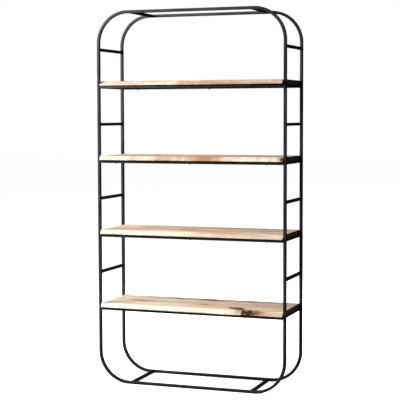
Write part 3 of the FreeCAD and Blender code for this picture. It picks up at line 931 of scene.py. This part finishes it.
def board_mesh(shelf, settings):
    """Build one board's mesh with its log, sap, heart, bark and sawn attributes."""
    cut = BOARD_CUTS[shelf]
    low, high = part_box(f"{shelf}_board")
    post_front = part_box("front_hoop")[0].y
    thickness = (high.z - low.z) / MM
    half_length = (high.x - low.x) / 2 / MM
    depth = (high.y - post_front) / MM
    arris = settings.arris / MM
    x, y, z = board_points(cut, half_length, depth, thickness, settings.step_x / MM, arris)
    z -= 0.12 * (1 + np.sin(x / 41.0 + y / 57.0)) * (z > thickness / 2)
    plain_z = z.copy()
    brown, bark, lift = carve(cut, x, y, z, thickness)
    for end in (0, -1):
        middle = (depth / 2, thickness / 2)
        y[end] = middle[0] + (y[end] - middle[0]) * (1 - 2 * arris / depth)
        z[end] = middle[1] + (z[end] - middle[1]) * (1 - 2 * arris / thickness * 0.7)
    for end, inward in ((1, 1), (-2, -1)):
        x[end] = x[end - inward] + inward * arris
    centre_x = (low.x + high.x) / 2
    places = np.stack([centre_x + x * MM, post_front + y * MM, low.z + z * MM], axis=-1)
    stations, around = x.shape
    faces = []
    for station in range(stations - 1):
        for point in range(around):
            after = (point + 1) % around
            near, far = station * around, (station + 1) * around
            faces.append((near + point, near + after, far + after, far + point))
    faces.append(tuple(range(around - 1, -1, -1)))
    faces.append(tuple((stations - 1) * around + point for point in range(around)))
    mesh = bpy.data.meshes.new(f"{shelf} plank")
    mesh.from_pydata(places.reshape(-1, 3).tolist(), [], faces)
    log = np.stack([x + LOG_STEP * cut.seed, y - depth / 2 - cut.pith[0],
                    plain_z + cut.pith[1] + lift], axis=-1) * MM
    vectors = mesh.attributes.new("log", "FLOAT_VECTOR", "POINT")
    vectors.data.foreach_set("vector", log.reshape(-1))
    sap = eased(cut.sap, x) * np.clip(1 - (y + 5) / SAP_DEPTH, 0, 1)
    heart = cut.heart * (1 - sap) * streaks(x, y, plain_z, cut.seed) + brown
    sawn = np.zeros_like(x)
    sawn[[0, -1]] = 1
    for name, values in (("sap", sap), ("heart", heart), ("bark", bark), ("sawn", sawn)):
        attribute = mesh.attributes.new(name, "FLOAT", "POINT")
        attribute.data.foreach_set("value", np.clip(values, 0, 1).reshape(-1))
    return mesh


class BOOKCASE_OT_boards(bpy.types.Operator):
    """Cut the four live-edge boards and give each its own place in the log"""
    bl_idname = "bookcase.boards"
    bl_label = "Boards"

    def execute(self, context):
        settings = context.scene.bookcase_board
        timber = bpy.data.materials[TIMBER]
        for shelf in SHELVES:
            mesh = board_mesh(shelf, settings)
            shape = bmesh.new()
            shape.from_mesh(mesh)
            bmesh.ops.recalc_face_normals(shape, faces=shape.faces)
            shape.to_mesh(mesh)
            shape.free()
            mesh.materials.append(timber)
            smooth(mesh, 40.0)
            new_piece(f"{shelf}_plank", mesh, shelf, "board", f"{shelf}_board")
        return {"FINISHED"}


# ---------------------------------------------------------------- stage

class BOOKCASE_OT_materials(bpy.types.Operator):
    """Mix the powder coat, the timber oil and the bare metals"""
    bl_idname = "bookcase.materials"
    bl_label = "Materials"

    def execute(self, context):
        powder_coat(context.scene.bookcase_tube.paint)
        zinc_plate()
        turned_steel()
        oiled_timber(context.scene.bookcase_board)
        return {"FINISHED"}


def floor_material():
    """Seamless white paper: bright to the eye, with only faint shadows."""
    material = bpy.data.materials.new("white paper floor")
    material.use_nodes = True
    tree = material.node_tree
    tree.nodes.clear()
    matt = add_node(tree, "ShaderNodeBsdfDiffuse", {"Color": (0.8, 0.8, 0.8, 1.0)})
    glow = add_node(tree, "ShaderNodeEmission", {"Strength": FLOOR_GLOW})
    lit = add_node(tree, "ShaderNodeAddShader", {0: matt.outputs[0], 1: glow.outputs[0]})
    grey = add_node(tree, "ShaderNodeBsdfDiffuse", {"Color": (0.14, 0.14, 0.14, 1.0)})
    path = add_node(tree, "ShaderNodeLightPath")
    seen = add_node(tree, "ShaderNodeMixShader",
                    {0: path.outputs["Is Camera Ray"], 1: grey.outputs[0],
                     2: lit.outputs[0]})
    add_node(tree, "ShaderNodeOutputMaterial", {"Surface": seen.outputs[0]})
    return material


def area_light(name, place, size, power, colour=(1.0, 1.0, 1.0), mirrored=True):
    """Hang a square soft box, turned to the bookcase; mirrored says that gloss shows it."""
    light = bpy.data.lights.new(name, "AREA")
    light.shape = "SQUARE"
    light.size = size
    light.energy = power
    light.color = colour
    lamp = bpy.data.objects.new(name, light)
    lamp.location = place
    aim = Vector(MIDDLE) - Vector(place)
    lamp.rotation_euler = aim.to_track_quat("-Z", "Y").to_euler()
    lamp.visible_glossy = mirrored
    bpy.context.scene.collection.objects.link(lamp)


class BOOKCASE_OT_stage(bpy.types.Operator):
    """Lay the floor, hang the lights and set up the camera"""
    bl_idname = "bookcase.stage"
    bl_label = "Stage"

    def execute(self, context):
        scene = context.scene
        stage = scene.bookcase_stage
        scene.view_settings.view_transform = "Standard"
        floor_mesh = bpy.data.meshes.new("paper floor")
        corners = [(x * FLOOR_REACH, y * FLOOR_REACH, 0)
                   for x, y in ((-1, -1), (1, -1), (1, 1), (-1, 1))]
        floor_mesh.from_pydata(corners, [], [(0, 1, 2, 3)])
        floor_mesh.materials.append(floor_material())
        floor = bpy.data.objects.new("paper_floor", floor_mesh)
        floor.location.z = CAD_BOX[0][2] - 0.0005
        scene.collection.objects.link(floor)

        world = bpy.data.worlds.new("white studio")
        world.use_nodes = True
        tree = world.node_tree
        tree.nodes.clear()
        white = add_node(tree, "ShaderNodeBackground", {"Color": WHITE, "Strength": 1.0})
        dim = add_node(tree, "ShaderNodeBackground",
                       {"Color": (0.9, 0.95, 1.0, 1.0), "Strength": stage.sky})
        path = add_node(tree, "ShaderNodeLightPath")
        both = add_node(tree, "ShaderNodeMixShader",
                        {0: path.outputs["Is Camera Ray"], 1: dim.outputs[0],
                         2: white.outputs[0]})
        add_node(tree, "ShaderNodeOutputWorld", {"Surface": both.outputs[0]})
        scene.world = world

        area_light("key soft box", (-3.5, -2.1, 2.96), 1.96, stage.key_power,
                   (1.0, 0.995, 0.98))
        area_light("back soft box", (-1.6, 3.2, 1.8), 1.6, stage.back_power,
                   mirrored=False)

        camera_data = bpy.data.cameras.new("studio camera")
        camera_data.sensor_width = 36.0
        camera_data.lens = stage.lens
        camera_data.clip_end = 200.0
        camera = bpy.data.objects.new("studio camera", camera_data)
        turn = Matrix.Rotation(stage.azimuth, 4, "Z")
        tilt = Matrix.Rotation(math.pi / 2 - stage.elevation, 4, "X")
        roll = Matrix.Rotation(stage.roll, 4, "Z")
        back = Matrix.Translation((0, 0, stage.distance))
        camera.matrix_world = Matrix.Translation(stage.target) @ turn @ tilt @ roll @ back
        scene.collection.objects.link(camera)
        scene.camera = camera
        return {"FINISHED"}


# ---------------------------------------------------------------- panel and registration

OPERATORS = (BOOKCASE_OT_materials, BOOKCASE_OT_hoops, BOOKCASE_OT_tubes, BOOKCASE_OT_welds,
             BOOKCASE_OT_screws, BOOKCASE_OT_pins, BOOKCASE_OT_boards, BOOKCASE_OT_stage)


class BOOKCASE_PT_sidebar(bpy.types.Panel):
    """Sizes and colours of the bookcase, with a button for each step"""
    bl_idname = "BOOKCASE_PT_sidebar"
    bl_label = "Bookcase"
    bl_space_type = "VIEW_3D"
    bl_region_type = "UI"
    bl_category = "Bookcase"

    def draw(self, context):
        for name, kind in SETTINGS.items():
            box = self.layout.box()
            for prop in kind.__annotations__:
                box.prop(getattr(context.scene, name), prop)
        for operator in OPERATORS:
            self.layout.operator(operator.bl_idname)


SETTINGS = {
    "bookcase_tube": BookcaseTubeSettings,
    "bookcase_hardware": BookcaseHardwareSettings,
    "bookcase_board": BookcaseBoardSettings,
    "bookcase_stage": BookcaseStageSettings,
}
CLASSES = (*SETTINGS.values(), *OPERATORS, BOOKCASE_PT_sidebar)


def register():
    """Register the settings, the steps and the panel."""
    for kind in CLASSES:
        bpy.utils.register_class(kind)
    for name, kind in SETTINGS.items():
        setattr(bpy.types.Scene, name, bpy.props.PointerProperty(type=kind))


def unregister():
    """Take away what register added."""
    for name in SETTINGS:
        delattr(bpy.types.Scene, name)
    for kind in reversed(CLASSES):
        bpy.utils.unregister_class(kind)


def main():
    """Build the whole bookcase."""
    register()
    bpy.ops.bookcase.materials()
    bpy.ops.bookcase.hoops()
    bpy.ops.bookcase.tubes()
    bpy.ops.bookcase.welds()
    bpy.ops.bookcase.screws()
    bpy.ops.bookcase.pins()
    bpy.ops.bookcase.boards()
    bpy.ops.bookcase.stage()


if __name__ == "__main__":
    main()
